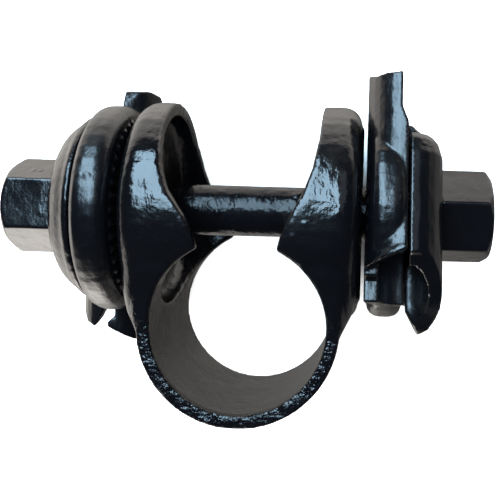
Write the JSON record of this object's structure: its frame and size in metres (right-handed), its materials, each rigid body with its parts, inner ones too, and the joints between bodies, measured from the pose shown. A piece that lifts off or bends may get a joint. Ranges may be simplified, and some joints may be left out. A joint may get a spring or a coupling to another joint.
{
  "type": "bicycle saddle clamp",
  "caption": "Pressed-steel clamp that grips a round seat post in a sprung band and holds the saddle's rails in toothed, adjustable side clips drawn together by a through stud and nuts.",
  "frame": {"origin": "on the seat post's axis at mid height of the band", "axes": "+Z along the seat post, +X along the through stud, +Y from the post towards the stud"},
  "size_m": [0.075, 0.0525, 0.034],
  "materials": {
    "black_enamel": "glossy black enamel over steel",
    "nut_enamel": "glossy black enamel over steel"
  },
  "bodies": {
    "band": {"band": "black_enamel"},
    "stud": {"stud": "black_enamel"},
    "right_inner_clip": {"right_inner_clip": "black_enamel"},
    "right_outer_clip": {"right_outer_clip": "black_enamel"},
    "right_nut": {"right_nut": "nut_enamel"},
    "left_inner_clip": {"left_inner_clip": "black_enamel"},
    "left_outer_clip": {"left_outer_clip": "black_enamel"},
    "left_nut": {"left_nut": "nut_enamel"}
  },
  "joints": [
    {"name": "stud_turn", "type": "hinge", "parent": "band", "child": "stud", "pos_m": [0, 0.0165, 0], "axis": [1, 0, 0], "continuous": true},
    {"name": "right_tilt", "type": "hinge", "parent": "band", "child": "right_inner_clip", "pos_m": [0.0179, 0.0165, 0], "axis": [1, 0, 0], "continuous": true},
    {"name": "right_open", "type": "slide", "parent": "right_inner_clip", "child": "right_outer_clip", "axis": [1, 0, 0], "range_m": [0, 0.0035]},
    {"name": "right_nut_turn", "type": "hinge", "parent": "right_outer_clip", "child": "right_nut", "pos_m": [0.0293, 0.0165, 0], "axis": [1, 0, 0], "range_deg": [0, 1000]},
    {"name": "left_tilt", "type": "hinge", "parent": "band", "child": "left_inner_clip", "pos_m": [-0.0179, 0.0165, 0], "axis": [1, 0, 0], "continuous": true},
    {"name": "left_open", "type": "slide", "parent": "left_inner_clip", "child": "left_outer_clip", "axis": [-1, 0, 0], "range_m": [0, 0.0035]},
    {"name": "left_nut_turn", "type": "hinge", "parent": "left_outer_clip", "child": "left_nut", "pos_m": [-0.0293, 0.0165, 0], "axis": [-1, 0, 0], "range_deg": [0, 1000]}
  ],
  "couplings": [
    {"joint": "right_open", "follows": "right_nut_turn", "m_per_rad": 0.00019894},
    {"joint": "left_open", "follows": "left_nut_turn", "m_per_rad": 0.00019894}
  ]
}
